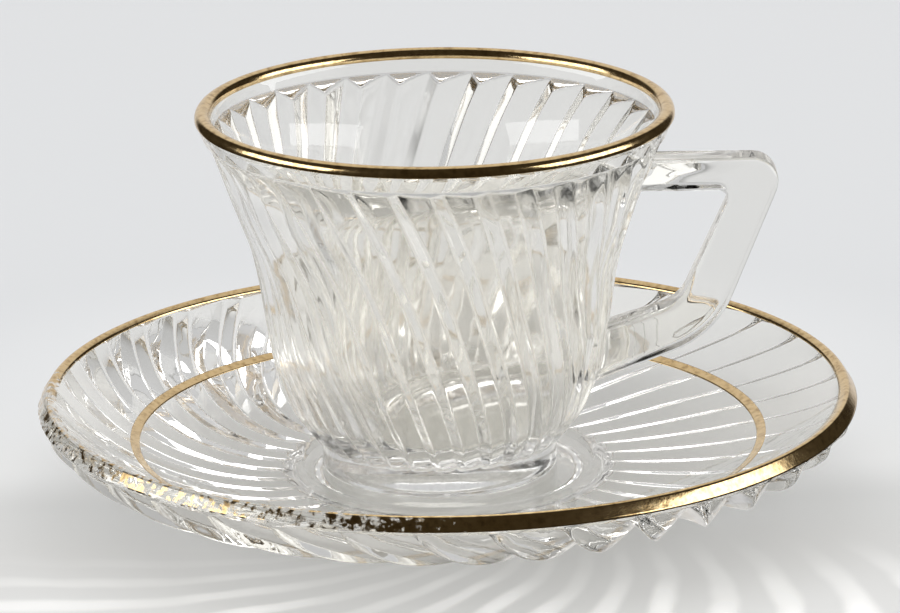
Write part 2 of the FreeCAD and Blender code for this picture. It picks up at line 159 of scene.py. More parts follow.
def smooth_through(places, values):
    """A natural cubic spline through the values, as a function of place."""
    x = np.array(places, float)
    y = np.array(values, float)
    gaps = np.diff(x)
    slopes = np.diff(y) / gaps
    count = len(x)
    matrix = np.eye(count)
    right = np.zeros(count)
    for i in range(1, count - 1):
        matrix[i, i - 1:i + 2] = gaps[i - 1], 2 * (gaps[i - 1] + gaps[i]), gaps[i]
        right[i] = 6 * (slopes[i] - slopes[i - 1])
    bends = np.linalg.solve(matrix, right)

    def value(place):
        i = int(np.clip(np.searchsorted(x, place) - 1, 0, count - 2))
        before, after, gap = place - x[i], x[i + 1] - place, gaps[i]
        ends = (y[i] * after + y[i + 1] * before) / gap
        bow = bends[i] * (after ** 3 / gap - gap * after) + bends[i + 1] * (before ** 3 / gap - gap * before)
        return float(ends + bow / 6)

    return value


def arc_points(centre, start, end, count):
    """Points on the shorter arc from start to end about a centre, both ends included."""
    first = math.atan2(start[1] - centre[1], start[0] - centre[0])
    last = math.atan2(end[1] - centre[1], end[0] - centre[0])
    turn = (last - first + math.pi) % TAU - math.pi
    radius = math.dist(centre, start)
    points = []
    for step in range(count):
        angle = first + turn * step / (count - 1)
        points.append((centre[0] + radius * math.cos(angle), centre[1] + radius * math.sin(angle)))
    return points


def tooth_phases(split, soft):
    """Places round one rib, close together where it turns a corner."""
    near = (-2.0, -1.0, 0.0, 1.0, 2.0)
    valley = [soft * n for n in near[2:]]
    crest = [split + soft * n for n in near]
    rise = [split * 0.38, split * 0.62]
    fall = [split + (1 - split) * share for share in (0.25, 0.5, 0.75)]
    end = [1 + soft * n for n in near[:2]]
    return sorted(valley + rise + crest + fall + end)


def tooth(phase, split, soft):
    """Height of a saw-tooth rib, 0 in the valley and 1 at the crest, corners softened."""
    total = 0.0
    shifts = np.linspace(-soft, soft, 9)
    for shift in shifts:
        place = (phase + shift) % 1.0
        total += place / split if place < split else (1 - place) / (1 - split)
    return total / len(shifts)


def mesh_piece(name, vertices, faces):
    """A smooth-shaded object from vertices in millimetres."""
    mesh = bpy.data.meshes.new(name)
    mesh.from_pydata([Vector(v) * MM for v in vertices], [], faces)
    mesh.validate()
    mesh.polygons.foreach_set("use_smooth", [True] * len(mesh.polygons))
    piece = bpy.data.objects.new(name, mesh)
    bpy.context.scene.collection.objects.link(piece)
    return piece


def shell_faces(rows, columns, first, closed=False):
    """Quads between neighbouring rows of a grid that goes all the way round."""
    faces = []
    pairs = rows if closed else rows - 1
    for row in range(pairs):
        here = first + row * columns
        above = first + ((row + 1) % rows) * columns
        for column in range(columns):
            beside = (column + 1) % columns
            faces.append((here + column, here + beside, above + beside, above + column))
    return faces


def closed_body(name, rows, bottom, top):
    """A closed body from rows of points all round, capped at a bottom and a top point."""
    columns = len(rows[0])
    vertices = [bottom] + [point for row in rows for point in row] + [top]
    faces = shell_faces(len(rows), columns, 1)
    last = len(vertices) - 1
    last_row = last - columns
    for column in range(columns):
        beside = (column + 1) % columns
        faces.append((0, 1 + beside, 1 + column))
        faces.append((last, last_row + column, last_row + beside))
    return mesh_piece(name, vertices, faces)


def turned_ring(name, outline, columns, x=0.0, z=0.0):
    """A closed ring from a closed outline of (radius, level) points."""
    rows = []
    for radius, level in outline:
        rows += [(x + radius * math.cos(TAU * c / columns), radius * math.sin(TAU * c / columns), z + level)
                 for c in range(columns)]
    faces = shell_faces(len(outline), columns, 0, closed=True)
    return mesh_piece(name, rows, faces)


# ---------------------------------------------------------------------- cup glass

def cup_rim_line(inset):
    """Points over the cup's rounded rim, outside to inside, an inset under the gilding's surface."""
    half = CUP_RIM_WIDTH / 2
    points = []
    for turn in np.linspace(0.0, math.pi, 25):
        reach = (half - inset) * math.cos(turn)
        points.append((CUP_RIM_RADIUS - half + reach, CUP_HEIGHT - half + (half - inset) * math.sin(turn)))
    return points


def cup_crest_line():
    """Crest radius as a function of height, the mean radius of its stations, and their levels."""
    levels = [CUP_RIB_FOOT + (CUP_RIB_TOP - CUP_RIB_FOOT) * share for share in CUP_CREST_RISE]
    spread = CUP_RIB_TOP_RADIUS - CUP_RIB_FOOT_RADIUS
    radii = [CUP_RIB_FOOT_RADIUS + spread * share for share in CUP_CREST_REACH]
    return smooth_through(levels, radii), sum(radii) / len(radii), levels


def cup_turn(height):
    """Degrees that the ribs have turned at a height."""
    share = (height - CUP_RIB_FOOT) / (CUP_RIB_TOP - CUP_RIB_FOOT)
    return -CUP_RIB_TURN * min(max(share, 0.0), 1.0)


def cup_band(height):
    """Radius of the smooth band's outside, or of its slanted foot."""
    root = CUP_RIB_TOP_RADIUS - CUP_RIB_DEPTH * 1.2 - CUP_WALL / 2
    gilt_foot = CUP_HEIGHT - CUP_GILT_HEIGHT
    return float(np.interp(height, (CUP_BAND_FOOT, CUP_RIB_TOP, gilt_foot),
                           (root, CUP_BAND_RADIUS, CUP_RIM_RADIUS - GILT_SKIN)))


def soft_greater(a, b, soft):
    """The greater of two values, with a rounded change from one to the other."""
    gap = abs(a - b)
    return max(a, b) + (soft - gap) ** 2 / (4 * soft) if gap < soft else max(a, b)


def make_cup_glass():
    """The cup's ribbed outside, rounded rim, smooth inside and hollowed foot."""
    crest_at, waist, levels = cup_crest_line()
    mouth = CUP_RIM_RADIUS - CUP_RIM_WIDTH + GILT_SKIN
    phases = tooth_phases(CUP_RIB_SPLIT, CUP_TOOTH_SOFT)
    heights = [tooth(phase, CUP_RIB_SPLIT, CUP_TOOTH_SOFT) for phase in phases]
    angles = []
    weights = []
    for rib in range(CUP_RIB_COUNT):
        for phase, height in zip(phases, heights):
            angles.append(CUP_RIB_START + 360.0 * (rib + phase) / CUP_RIB_COUNT)
            weights.append(height)

    def row(radius_at, level, turn):
        points = []
        for angle, weight in zip(angles, weights):
            radius = radius_at(weight)
            around = math.radians(angle + turn)
            points.append((CUP_X + radius * math.cos(around), radius * math.sin(around), CUP_BASE + level))
        return points

    rows = []
    recess_edge = CUP_FOOT_RADIUS - CUP_FOOT_WIDTH
    dome = (recess_edge ** 2 + CUP_FOOT_RECESS ** 2) / (2 * CUP_FOOT_RECESS)
    for share in (0.12, 0.3, 0.5, 0.7, 0.85, 0.95):
        radius = recess_edge * share
        level = CUP_FOOT_RECESS - dome + math.sqrt(dome ** 2 - radius ** 2)
        rows.append(row(lambda w, r=radius: r, level + REST_GAP, 0.0))
    foot = [(recess_edge, 0.12), (recess_edge + 0.3, 0.0), (CUP_FOOT_RADIUS - 0.9, 0.0)]
    foot += arc_points((CUP_FOOT_RADIUS - 0.6, 0.6), (CUP_FOOT_RADIUS - 0.6, 0.0), (CUP_FOOT_RADIUS, 0.6), 5)
    foot += [(CUP_FOOT_RADIUS, level) for level in (1.5, 2.8, 3.8)]
    for radius, level in foot:
        rows.append(row(lambda w, r=radius: r, level + REST_GAP, 0.0))

    def rib_radius(level):
        crest = crest_at(max(level, CUP_RIB_FOOT))
        depth = CUP_RIB_DEPTH * crest / waist
        band = cup_band(level) if level > CUP_BAND_FOOT else 0.0
        blend = min(max((level - CUP_RIB_FOOT + 0.5) / 0.9, 0.0), 1.0)
        blend = blend * blend * (3 - 2 * blend)

        def at(weight):
            ribbed = crest - depth * (1 - weight)
            radius = CUP_FOOT_RADIUS + (ribbed - CUP_FOOT_RADIUS) * blend
            return soft_greater(radius, band, 0.35) if band else radius
        return at

    near_foot = np.linspace(CUP_RIB_FOOT - 0.5, CUP_RIB_FOOT + 0.5, 6)
    middle_part = np.linspace(CUP_RIB_FOOT + 1.0, CUP_BAND_FOOT - 0.4, 74)
    near_band = np.linspace(CUP_BAND_FOOT - 0.2, CUP_RIB_TOP + 0.3, 16)
    for level in [*near_foot, *middle_part, *near_band]:
        rows.append(row(rib_radius(level), level, cup_turn(level)))
    top_turn = cup_turn(CUP_RIB_TOP)
    gilt_foot = CUP_HEIGHT - CUP_GILT_HEIGHT
    for level in np.linspace(CUP_RIB_TOP + 0.8, gilt_foot, 4):
        rows.append(row(lambda w, r=cup_band(level): r, level, top_turn))
    for radius, level in cup_rim_line(GILT_SKIN) + [(mouth, gilt_foot)]:
        rows.append(row(lambda w, r=radius: r, level, top_turn))

    inside_levels = [gilt_foot, CUP_RIB_TOP]
    inside_radii = [mouth, CUP_BAND_RADIUS - CUP_BAND_WALL]
    for level in reversed(levels[1:-1]):
        inside_levels.append(level)
        inside_radii.append(crest_at(level) * (1 - CUP_RIB_DEPTH / waist) - CUP_WALL)
    inside_at = smooth_through(inside_levels[::-1], inside_radii[::-1])
    lowest = inside_levels[-1]
    for level in np.linspace(gilt_foot - 0.6, lowest + 0.8, 44):
        rows.append(row(lambda w, r=inside_at(level): r, level, top_turn))
    # the floor's rounded corner, from the wall in to the flat middle
    corner = (inside_at(lowest + 0.8), lowest + 0.8)
    floor_edge = (CUP_FLOOR_RADIUS, CUP_FLOOR)
    lean = (inside_at(lowest + 1.0) - inside_at(lowest + 0.6)) / 0.4
    pull = (corner[0] - lean * 2.6, corner[1] - 2.6)
    flat = (floor_edge[0] + 3.2, floor_edge[1])
    for step in range(1, 13):
        t = step / 12
        a, b, c, d = (1 - t) ** 3, 3 * t * (1 - t) ** 2, 3 * t * t * (1 - t), t ** 3
        radius = a * corner[0] + b * pull[0] + c * flat[0] + d * floor_edge[0]
        level = a * corner[1] + b * pull[1] + c * flat[1] + d * floor_edge[1]
        rows.append(row(lambda w, r=radius: r, level, top_turn))
    for radius in (7.0, 4.0, 1.5):
        rows.append(row(lambda w, r=radius: r, CUP_FLOOR, top_turn))
    bottom = (CUP_X, 0.0, CUP_BASE + CUP_FOOT_RECESS + REST_GAP)
    top = (CUP_X, 0.0, CUP_BASE + CUP_FLOOR)
    return closed_body("cup_glass_body", rows, bottom, top)


# ------------------------------------------------------------------------- handle

def rounded_outline(corners, steps=10):
    """A closed outline from (reach, level, radius) corners, with round corners as arcs."""
    points = []
    count = len(corners)
    for i, (x, z, radius) in enumerate(corners):
        here = Vector((x, z))
        if radius <= 0.0:
            points.append((x, z))
            continue
        before = (Vector(corners[i - 1][:2]) - here).normalized()
        after = (Vector(corners[(i + 1) % count][:2]) - here).normalized()
        half_angle = before.angle(after) / 2
        reach = radius / math.tan(half_angle)
        centre = here + (before + after).normalized() * (radius / math.sin(half_angle))
        points += arc_points(centre, here + before * reach, here + after * reach, steps)
    return points


def make_handle_glass():
    """The square-shouldered handle, with softly rounded edges."""
    top = CUP_HEIGHT - HANDLE_DROP
    under = top - HANDLE_ARM
    low, high = HANDLE_LOW_ROOT_LEVELS
    corners = [
        (HANDLE_TOP_ROOT, top, 0.0), (CUP_RIM_RADIUS + HANDLE_REACH, top, 3.5),
        (CUP_RIM_RADIUS + HANDLE_ELBOW[0], HANDLE_ELBOW[1], 14.0), (HANDLE_LOW_ROOT, low, 0.0),
        (HANDLE_LOW_ROOT, high, 0.0), (CUP_RIM_RADIUS + HANDLE_CROOK[0], HANDLE_CROOK[1], 6.0),
        (CUP_RIM_RADIUS + HANDLE_INNER_REACH, under, 1.4), (HANDLE_TOP_ROOT, under, 0.0),
    ]
    outline = [Vector(point) for point in rounded_outline(corners)]
    count = len(outline)
    normals = []
    for i, point in enumerate(outline):
        along = (outline[(i + 1) % count] - outline[i - 1]).normalized()
        normals.append(Vector((-along.y, along.x)))
    half = HANDLE_THICKNESS / 2 - HANDLE_EDGE
    rings = [(HANDLE_EDGE * 1.6, -HANDLE_THICKNESS / 2)]
    for step in range(9):
        angle = math.radians(-90 + 90 * step / 8)
        rings.append((HANDLE_EDGE * (1 - math.cos(angle)), -half + HANDLE_EDGE * math.sin(angle)))
    rings += [(0.0, 0.0)] + [(inset, -across) for inset, across in reversed(rings)]
    vertices = []
    for inset, across in rings:
        for point, normal in zip(outline, normals):
            x, z = point - normal * inset
            vertices.append((CUP_X + x, across, CUP_BASE + z))
    faces = shell_faces(len(rings), count, 0)
    last = (len(rings) - 1) * count
    faces.append(tuple(reversed(range(count))))
    faces.append(tuple(range(last, last + count)))
    return mesh_piece("cup_handle_glass", vertices, faces)


def join_solids(target, other):
    """Fuses another closed mesh into the target and drops it."""
    change = target.modifiers.new("join", "BOOLEAN")
    change.operation = "UNION"
    change.solver = "EXACT"
    change.object = other
    deps = bpy.context.evaluated_depsgraph_get()
    joined = bpy.data.meshes.new_from_object(target.evaluated_get(deps))
    target.modifiers.clear()
    target.data = joined
    bpy.data.objects.remove(other)


# ------------------------------------------------------------------- saucer glass

DISH_EDGE = (SAUCER_RADIUS - RIM_WIDTH, SAUCER_HEIGHT - RIM_ROLL)
DISH_FOOT = WELL_LEVEL + WELL_BEAD_RISE
DISH_RISE = DISH_EDGE[1] - DISH_FOOT
DISH_CURVE = ((DISH_EDGE[0] - DISH_LOWEST) ** 2 + DISH_RISE ** 2) / (2 * DISH_RISE)


def dish_level(radius, depth=0.0):
    """Level of the dish's upper face, or of a face that lies a depth under it."""
    reach = radius - DISH_LOWEST
    return DISH_FOOT + DISH_CURVE - math.sqrt((DISH_CURVE + depth) ** 2 - reach ** 2)


def swirl(radius):
    """Degrees that a saucer rib has turned at a radius."""
    share = (radius - SAUCER_RIB_FOOT_RADIUS) / (DISH_EDGE[0] - SAUCER_RIB_FOOT_RADIUS)
    return SAUCER_RIB_TURN * (1 - math.copysign(abs(share) ** SAUCER_RIB_TURN_POWER, share))


def saucer_rim_line(grown):
    """Points over the saucer's rim, from the dish to the gilding's outer foot."""
    centre = Vector((SAUCER_RADIUS - RIM_CROWN_INSET, SAUCER_HEIGHT - GILT_SKIN - RIM_CORNER))
    inner = Vector(DISH_EDGE)
    outer = Vector((SAUCER_RADIUS - GILT_SKIN, SAUCER_HEIGHT - RIM_LIP))
    normals = []
    for point, turn in ((inner, -1), (outer, 1)):
        away = point - centre
        angle = math.atan2(away.y, away.x) + turn * math.acos(RIM_CORNER / away.length)
        normals.append(Vector((math.cos(angle), math.sin(angle))))
    upward, outward = normals
    top_end = centre + upward * (RIM_CORNER + grown)
    side_start = centre + outward * (RIM_CORNER + grown)
    start = inner + upward * grown
    finish = outer + outward * grown
    points = [start, start.lerp(top_end, 0.5)]
    points += [Vector(point) for point in arc_points(centre, top_end, side_start, 9)]
    return points + [side_start.lerp(finish, 0.4), side_start.lerp(finish, 0.8), finish]


def make_saucer_glass():
    """The saucer: smooth dish above, swirling ribs below, standing on a foot ring."""
    spread = SAUCER_RIB_END_RADIUS - SAUCER_RIB_FOOT_RADIUS
    rise = SAUCER_RIB_END_LEVEL - SAUCER_RIB_FOOT_LEVEL
    radii = [SAUCER_RIB_FOOT_RADIUS + spread * share for share in SAUCER_CREST_REACH]
    levels = [SAUCER_RIB_FOOT_LEVEL + rise * share for share in SAUCER_CREST_RISE]
    places = [0.0]
    for i in range(1, len(radii)):
        places.append(places[-1] + math.hypot(radii[i] - radii[i - 1], levels[i] - levels[i - 1]))
    crest_radius = smooth_through(places, radii)
    crest_level = smooth_through(places, levels)
    valley_inset = smooth_through(places, SAUCER_VALLEY_INSET)
    phases = tooth_phases(SAUCER_RIB_SPLIT, SAUCER_TOOTH_SOFT)
    heights = [tooth(phase, SAUCER_RIB_SPLIT, SAUCER_TOOTH_SOFT) for phase in phases]
    bases = []
    weights = []
    for rib in range(SAUCER_RIB_COUNT):
        for phase, height in zip(phases, heights):
            bases.append(SAUCER_RIB_START + 360.0 * (rib + phase) / SAUCER_RIB_COUNT)
            weights.append(height)

    def flat_row(radius, level, turn):
        around = [math.radians(base + turn) for base in bases]
        return [(radius * math.cos(angle), radius * math.sin(angle), level) for angle in around]

    rows = []
    recess_edge = FOOT_RADIUS - FOOT_WIDTH
    inner_turn = swirl(SAUCER_RIB_FOOT_RADIUS)
    for radius in (2.0, 6.0, 10.0, 14.0, recess_edge - FOOT_HEIGHT / 2 - 0.4):
        rows.append(flat_row(radius, FOOT_HEIGHT, inner_turn))
    ring = [(recess_edge - FOOT_HEIGHT / 2, FOOT_HEIGHT - 0.1), (recess_edge - 0.15, 0.3),
            (recess_edge + 0.1, 0.05), (recess_edge + 0.5, 0.0), (FOOT_RADIUS - 0.7, 0.0),
            (FOOT_RADIUS - 0.25, 0.06)]
    for radius, level in ring:
        rows.append(flat_row(radius, level, inner_turn))
    base_radius = FOOT_RADIUS + BASE_WIDTH

    def rib_row(place):
        crest = (crest_radius(place), crest_level(place))
        valley_radius = crest[0] - valley_inset(place)
        valley = (valley_radius, dish_level(valley_radius, SAUCER_WALL))
        # next to the foot ring, the ribs stay under its slanted side
        beside_foot = crest[0] < base_radius + 0.05
        cone = (crest[0] - FOOT_RADIUS) / BASE_WIDTH * BASE_LEVEL if beside_foot else math.inf
        points = []
        for base, weight in zip(bases, weights):
            radius = valley[0] + (crest[0] - valley[0]) * weight
            level = valley[1] + (crest[1] - valley[1]) * weight
            turn = swirl(valley[0]) + (swirl(crest[0]) - swirl(valley[0])) * weight
            angle = math.radians(base + turn)
            points.append((radius * math.cos(angle), radius * math.sin(angle), min(level, cone)))
        return points

    reach = places[-1]
    inner_part = np.linspace(0.72, 2.4, 8)
    middle_part = np.linspace(3.0, reach - 8.0, 40)
    outer_part = np.linspace(reach - 7.5, reach, 22)
    for place in [*inner_part, *middle_part, *outer_part]:
        rows.append(rib_row(place))
    rim = saucer_rim_line(0.0)[::-1]
    outer = rim[0]
    outer_turn = swirl(SAUCER_RIB_END_RADIUS)
    under = outer.y - RIM_DEPTH
    for radius, level in ((outer.x - 0.12, under + 0.08), (outer.x, under + 0.3)):
        rows.append(flat_row(radius, level, outer_turn))
    for radius, level in rim:
        rows.append(flat_row(radius, level, outer_turn))
    for radius in np.linspace(DISH_EDGE[0] - 0.6, WELL_RADIUS + 0.2, 46):
        rows.append(flat_row(radius, dish_level(radius), outer_turn))
    bead = WELL_RADIUS - WELL_BEAD_WIDTH
    well = [(WELL_RADIUS, DISH_FOOT), (WELL_RADIUS - 0.15, DISH_FOOT - 0.04),
            (bead + 0.15, WELL_LEVEL + 0.04), (bead, WELL_LEVEL), (bead - 0.4, WELL_LEVEL),
            (14.0, WELL_LEVEL), (8.0, WELL_LEVEL), (3.0, WELL_LEVEL)]
    for radius, level in well:
        rows.append(flat_row(radius, level, outer_turn))
    return closed_body("saucer_glass_body", rows, (0.0, 0.0, FOOT_HEIGHT), (0.0, 0.0, WELL_LEVEL))


# ------------------------------------------------------------------------- gilding

def make_cup_gilding():
    """The gilt band over the cup's rim."""
    foot = CUP_HEIGHT - CUP_GILT_HEIGHT
    inner = CUP_RIM_RADIUS - CUP_RIM_WIDTH
    sunk = GILT_SKIN + GILT_SINK
    outline = [(CUP_RIM_RADIUS - sunk, foot), (CUP_RIM_RADIUS - 0.05, foot), (CUP_RIM_RADIUS, foot + 0.06)]
    outline += cup_rim_line(0.0)
    outline += [(inner, foot + 0.06), (inner + 0.05, foot), (inner + sunk, foot)]
    outline += reversed(cup_rim_line(sunk))
    return turned_ring("cup_gilding", outline, 360, CUP_X, CUP_BASE)


def make_saucer_gilding():
    """The gilt edge of the saucer."""
    outline = saucer_rim_line(GILT_SKIN)[::-1] + saucer_rim_line(-GILT_SINK)
    return turned_ring("saucer_gilding", outline, 480)


def make_saucer_ring():
    """The gilt line on the dish."""
    outer = RING_OUTER
    inner = RING_OUTER - RING_WIDTH
    radii = np.linspace(outer, inner, 8)
    outline = [(radius, dish_level(radius, -GILT_SKIN * 0.6)) for radius in radii]
    outline += [(radius, dish_level(radius, GILT_SINK)) for radius in reversed(radii)]
    return turned_ring("saucer_gilt_line", outline, 480)


# ----------------------------------------------------------------------- materials

def new_material(name):
    material = bpy.data.materials.new(name)
    material.use_nodes = True
    material.node_tree.nodes.clear()
    return material, material.node_tree.nodes, material.node_tree.links


def set_inputs(node, **values):
    for name, value in values.items():
        node.inputs[name.replace("_", " ")].default_value = value
    return node


def noise(nodes, place, scale, detail, roughness):
    """A noise pattern fixed to the object."""
    node = set_inputs(nodes.new("ShaderNodeTexNoise"), Scale=scale, Detail=detail, Roughness=roughness)
    nodes.id_data.links.new(place, node.inputs["Vector"])
    return node.outputs["Fac"]


def bumped(nodes, height, strength, distance):
    """A surface normal shaken by a pattern."""
    node = set_inputs(nodes.new("ShaderNodeBump"), Strength=strength, Distance=distance)
    nodes.id_data.links.new(height, node.inputs["Height"])
    return node.outputs["Normal"]


def maths(nodes, operation, first, second=0.0):
    """A calculation with numbers or sockets."""
    node = nodes.new("ShaderNodeMath")
    node.operation = operation
    for socket, value in zip(node.inputs, (first, second)):
        if isinstance(value, float):
            socket.default_value = value
        else:
            nodes.id_data.links.new(value, socket)
    return node.outputs["Value"]


def mapped(nodes, source, low, high, to_low=0.0, to_high=1.0, curve="LINEAR"):
    """A value between low and high, stretched to another range and held at its ends."""
    node = nodes.new("ShaderNodeMapRange")
    set_inputs(node, From_Min=low, From_Max=high, To_Min=to_low, To_Max=to_high)
    node.interpolation_type = curve
    nodes.id_data.links.new(source, node.inputs["Value"])
    return node.outputs["Result"]


def along(nodes, vector, direction):
    """How far a vector goes along a direction."""
    node = nodes.new("ShaderNodeVectorMath")
    node.operation = "DOT_PRODUCT"
    node.inputs[1].default_value = direction
    nodes.id_data.links.new(vector, node.inputs[0])
    return node.outputs["Value"]


def length_of(nodes, vector):
    node = nodes.new("ShaderNodeVectorMath")
    node.operation = "LENGTH"
    nodes.id_data.links.new(vector, node.inputs[0])
    return node.outputs["Value"]


def colour_ramp(nodes, source, stops, interpolation="LINEAR"):
    """A ramp of colours over a value."""
    node = nodes.new("ShaderNodeValToRGB")
    node.color_ramp.interpolation = interpolation
    elements = node.color_ramp.elements
    while len(elements) < len(stops):
        elements.new(0.5)
    for element, (position, shade) in zip(elements, stops):
        element.position = position
        element.color = (*shade, 1.0)
    nodes.id_data.links.new(source, node.inputs["Fac"])
    return node.outputs["Color"]


# Lamp light that passes each face of the glass
GLASS_SHADE = (0.97, 0.97, 0.96, 1.0)
GLASS_TINT = (0.985, 0.975, 0.945, 1.0)

# The gilding's shades, from its tarnished grain to its light patches, and how far it is faded
# for every ray but the first
GILT_SHADES = [(0.3, (0.52, 0.36, 0.17)), (0.5, (0.8, 0.59, 0.31)), (0.7, (0.87, 0.67, 0.38))]
GILT_FADED = 0.82
# The side on which the saucer's gilding is worn, and where the wear begins and is complete, in metres
WORN_TOWARDS = (-0.8, -0.6, 0.0)
WORN_FROM = 0.028
WORN_TO = 0.046
WORN_EDGE = (0.56, 0.66)
SAUCER_WEAR = 0.16

# The cup's ribs are softer than its rim and handle: reach from the axis and heights, in metres
RIBBED_REACH = 0.033
RIBBED_TOP = 0.05
RIBBED_SOFTNESS = 0.05


def glass_material(name, ribbed=False):
    """Clear pressed glass: a little wavy from the mould, softer on the ribs of a cup.

    Lamp light goes through it.
    """
    material, nodes, links = new_material(name)
    place = nodes.new("ShaderNodeTexCoord").outputs["Object"]
    glass = nodes.new("ShaderNodeBsdfPrincipled")
    set_inputs(glass, Base_Color=GLASS_TINT, Roughness=0.0, IOR=1.5, Transmission_Weight=1.0)
    ripple = noise(nodes, place, 160.0, 2.0, 0.5)
    links.new(bumped(nodes, ripple, 0.12, 0.0004), glass.inputs["Normal"])
    if ribbed:
        axes = nodes.new("ShaderNodeSeparateXYZ")
        flat = nodes.new("ShaderNodeCombineXYZ")
        links.new(place, axes.inputs["Vector"])
        links.new(axes.outputs["X"], flat.inputs["X"])
        links.new(axes.outputs["Y"], flat.inputs["Y"])
        reach = length_of(nodes, flat.outputs["Vector"])
        inside = mapped(nodes, reach, RIBBED_REACH + 0.001, RIBBED_REACH)
        below = mapped(nodes, axes.outputs["Z"], RIBBED_TOP + 0.004, RIBBED_TOP, 0.0, RIBBED_SOFTNESS)
        links.new(maths(nodes, "MULTIPLY", inside, below), glass.inputs["Roughness"])
    through = set_inputs(nodes.new("ShaderNodeBsdfTransparent"), Color=GLASS_SHADE)
    ray = nodes.new("ShaderNodeLightPath")
    mix = nodes.new("ShaderNodeMixShader")
    out = nodes.new("ShaderNodeOutputMaterial")
    links.new(ray.outputs["Is Shadow Ray"], mix.inputs["Fac"])
    links.new(glass.outputs["BSDF"], mix.inputs[1])
    links.new(through.outputs["BSDF"], mix.inputs[2])
    links.new(mix.outputs["Shader"], out.inputs["Surface"])
    return material


def gilt_material(name, wear=0.0):
    """Hand-laid gilding: burnished, a little grainy, and worn thin on one side if asked."""
    material, nodes, links = new_material(name)
    place = nodes.new("ShaderNodeTexCoord").outputs["Object"]
    grain = noise(nodes, place, 900.0, 3.0, 0.6)
    patches = noise(nodes, place, 110.0, 3.0, 0.55)
    gold = set_inputs(nodes.new("ShaderNodeBsdfPrincipled"), Metallic=1.0)
    links.new(colour_ramp(nodes, grain, GILT_SHADES), gold.inputs["Base Color"])
    links.new(mapped(nodes, patches, 0.3, 0.7, 0.1, 0.2), gold.inputs["Roughness"])
    links.new(bumped(nodes, grain, 0.07, 0.0003), gold.inputs["Normal"])
    # seen through glass or in a reflection, only a faint warm tint of it shows
    ray = nodes.new("ShaderNodeLightPath")
    clear = mapped(nodes, ray.outputs["Ray Depth"], 0.0, 1.0, 0.0, GILT_FADED)
    if wear:
        # bare glass shows where it has gone: most of one side, and in specks beside it
        side = along(nodes, place, WORN_TOWARDS)
        worn = mapped(nodes, side, WORN_FROM, WORN_TO, -0.2, wear)
        gone = mapped(nodes, maths(nodes, "ADD", worn, grain), *WORN_EDGE)
        clear = maths(nodes, "MAXIMUM", gone, clear)
    bare = nodes.new("ShaderNodeBsdfTransparent")
    mix = nodes.new("ShaderNodeMixShader")
    out = nodes.new("ShaderNodeOutputMaterial")
    links.new(clear, mix.inputs["Fac"])
    links.new(gold.outputs["BSDF"], mix.inputs[1])
    links.new(bare.outputs["BSDF"], mix.inputs[2])
    links.new(mix.outputs["Shader"], out.inputs["Surface"])
    return material


# Painted shade on the floor, from 100 mm before the saucer's axis to 50 mm behind it: darker before
# the saucer, most in a soft band that stands for shadow, and the plain shade that it turns into
# further out. Depths go backwards from the axis, reaches outwards, both in metres.
PAINTED_SHADE_DEPTHS = (-0.1, 0.05)
PAINTED_SHADE_REACH = (0.24, 0.1)
FLOOR_PAINTED_SHADE = [(0.0, (0.6, 0.605, 0.605)), (0.2, (0.65, 0.65, 0.645)), (0.5, (0.56, 0.56, 0.555)),
              (0.68, (0.59, 0.595, 0.595)), (0.84, (0.755, 0.76, 0.765)), (1.0, (0.755, 0.765, 0.78))]
FLOOR_FAR = (0.755, 0.765, 0.78, 1.0)

# Painted streaks that stand for the light the ribs gather: how many, where their sweep starts,
# how they sweep, how much they wander, where they end and how bright they are
STREAK_COUNT = 36.0
STREAK_START = 0.057
STREAK_SWEEP = 0.8
STREAK_WANDER = 4.0
STREAK_DEPTHS = (-0.02, -0.06)
STREAK_REACH = (0.113, 0.076)
STREAK_LIGHT = 0.34

# The painted glow around them, weaker behind the saucer
POOL_DEPTHS = (0.06, -0.06)
POOL_REACH = (0.122, 0.062)
POOL_LIGHT = 0.22


